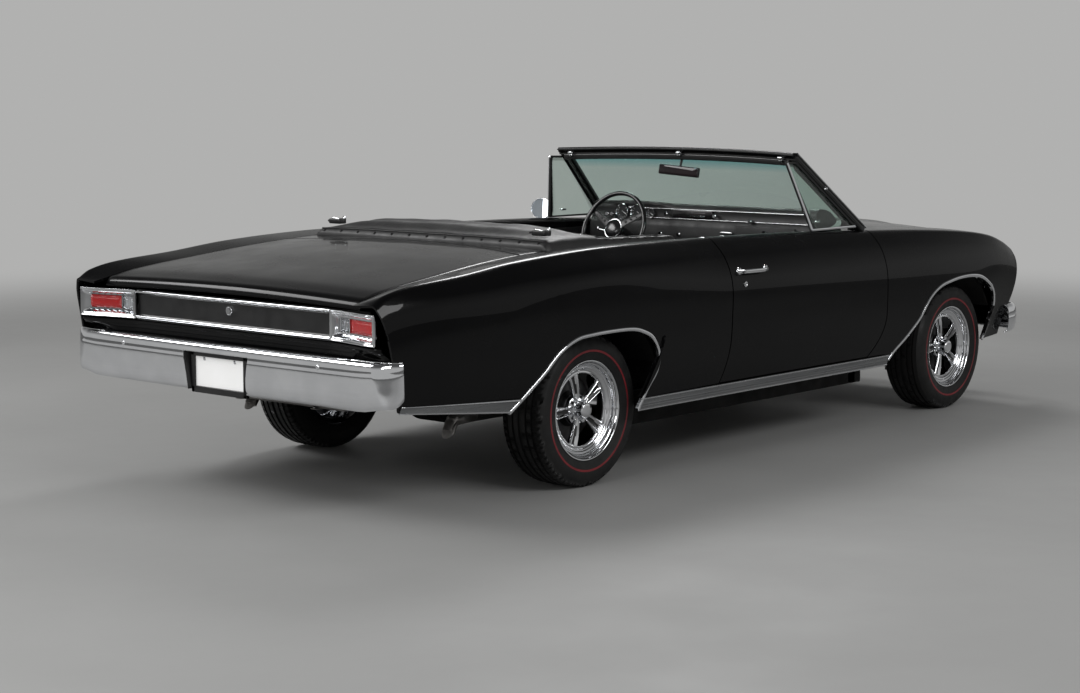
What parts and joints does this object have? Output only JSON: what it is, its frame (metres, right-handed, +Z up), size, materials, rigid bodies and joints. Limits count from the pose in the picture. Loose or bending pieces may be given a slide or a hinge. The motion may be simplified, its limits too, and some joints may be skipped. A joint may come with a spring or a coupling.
{
  "type": "open two-door muscle car",
  "caption": "Open two-door muscle car with opening doors, hood and trunk, steered front wheels and rolling wheels.",
  "frame": {"origin": "on the ground under the middle of the car's length and width", "axes": "+X forward, +Y to the car's left, +Z up"},
  "size_m": [5.0035, 1.9052, 1.347],
  "materials": {
    "paint": "gloss black paint",
    "chrome": "polished chrome",
    "bright_trim": "ribbed bright trim",
    "chassis": "semi-gloss chassis black",
    "steel": "dull exhaust steel",
    "cast": "dull cast iron",
    "tyre": "matt tyre rubber with a thin red line",
    "glass": "green tinted glass",
    "red_lens": "red lamp lens",
    "lamp_glass": "clear lamp glass",
    "vinyl": "black grained vinyl",
    "boot_vinyl": "black cover vinyl",
    "dash": "black padded dash",
    "grip": "black moulded rim",
    "plate": "blank white plate",
    "black_grille": "satin black grille"
  },
  "bodies": {
    "body": {"frame": "chassis", "floor_pan": "chassis", "wheel_wells": "chassis", "cowl": "paint", "engine": "cast", "rear_axle": "chassis", "suspension": "chassis", "exhaust": "steel", "fuel_tank": "steel", "grille": "black_grille", "headlamps": "lamp_glass", "front_bumper": "chrome", "rear_bumper": "chrome", "fender_left": "paint", "fender_right": "paint", "quarter_left": "paint", "quarter_right": "paint", "sill_mouldings": "bright_trim", "tail_panel": "paint", "tail_lamps": "red_lens", "plate": "plate", "deck_panel": "paint", "boot_cover": "boot_vinyl", "windshield_frame": "chrome", "windshield": "glass", "dashboard": "dash", "front_seats": "vinyl", "rear_seat": "vinyl"},
    "door_left": {"door_left": "paint", "vent_window_left": "glass", "door_mirror": "chrome"},
    "door_right": {"door_right": "paint", "vent_window_right": "glass"},
    "hood": {"hood": "paint"},
    "trunk_lid": {"trunk_lid": "paint"},
    "knuckle_left": {"knuckle_left": "cast"},
    "knuckle_right": {"knuckle_right": "cast"},
    "steering_wheel": {"steering_wheel": "grip"},
    "wheel_front_left": {"wheel_front_left": "chrome", "tyre_front_left": "tyre"},
    "wheel_front_right": {"wheel_front_right": "chrome", "tyre_front_right": "tyre"},
    "wheel_rear_left": {"wheel_rear_left": "chrome", "tyre_rear_left": "tyre"},
    "wheel_rear_right": {"wheel_rear_right": "chrome", "tyre_rear_right": "tyre"}
  },
  "joints": [
    {"name": "door_left_hinge", "type": "hinge", "parent": "body", "child": "door_left", "pos_m": [0.745, 0.914, 0.65], "axis": [0, 0, -1], "range_deg": [0, 65]},
    {"name": "door_right_hinge", "type": "hinge", "parent": "body", "child": "door_right", "pos_m": [0.745, -0.914, 0.65], "axis": [0, 0, 1], "range_deg": [0, 65]},
    {"name": "hood_hinge", "type": "hinge", "parent": "body", "child": "hood", "pos_m": [1.08, 0, 0.978], "axis": [0, -1, 0], "range_deg": [0, 50]},
    {"name": "trunk_hinge", "type": "hinge", "parent": "body", "child": "trunk_lid", "pos_m": [-1.385, 0, 0.983], "axis": [0, 1, 0], "range_deg": [0, 65]},
    {"name": "steer_left", "type": "hinge", "parent": "body", "child": "knuckle_left", "pos_m": [1.689, 0.65, 0.318], "axis": [0, 0, 1], "range_deg": [-30, 30]},
    {"name": "steer_right", "type": "hinge", "parent": "body", "child": "knuckle_right", "pos_m": [1.689, -0.65, 0.318], "axis": [0, 0, 1], "range_deg": [-30, 30]},
    {"name": "steering_wheel_turn", "type": "hinge", "parent": "body", "child": "steering_wheel", "pos_m": [0.437, 0.375, 0.93], "axis": [-0.9272, 0, 0.3746], "range_deg": [-480, 480]},
    {"name": "roll_front_left", "type": "hinge", "parent": "knuckle_left", "child": "wheel_front_left", "pos_m": [1.689, 0.736, 0.318], "axis": [0, 1, 0], "continuous": true},
    {"name": "roll_front_right", "type": "hinge", "parent": "knuckle_right", "child": "wheel_front_right", "pos_m": [1.689, -0.736, 0.318], "axis": [0, 1, 0], "continuous": true},
    {"name": "roll_rear_left", "type": "hinge", "parent": "body", "child": "wheel_rear_left", "pos_m": [-1.232, 0.736, 0.318], "axis": [0, 1, 0], "continuous": true},
    {"name": "roll_rear_right", "type": "hinge", "parent": "body", "child": "wheel_rear_right", "pos_m": [-1.232, -0.736, 0.318], "axis": [0, 1, 0], "continuous": true}
  ],
  "couplings": [
    {"joint": "steer_right", "follows": "steer_left", "ratio": 1},
    {"joint": "steering_wheel_turn", "follows": "steer_left", "ratio": 16}
  ]
}
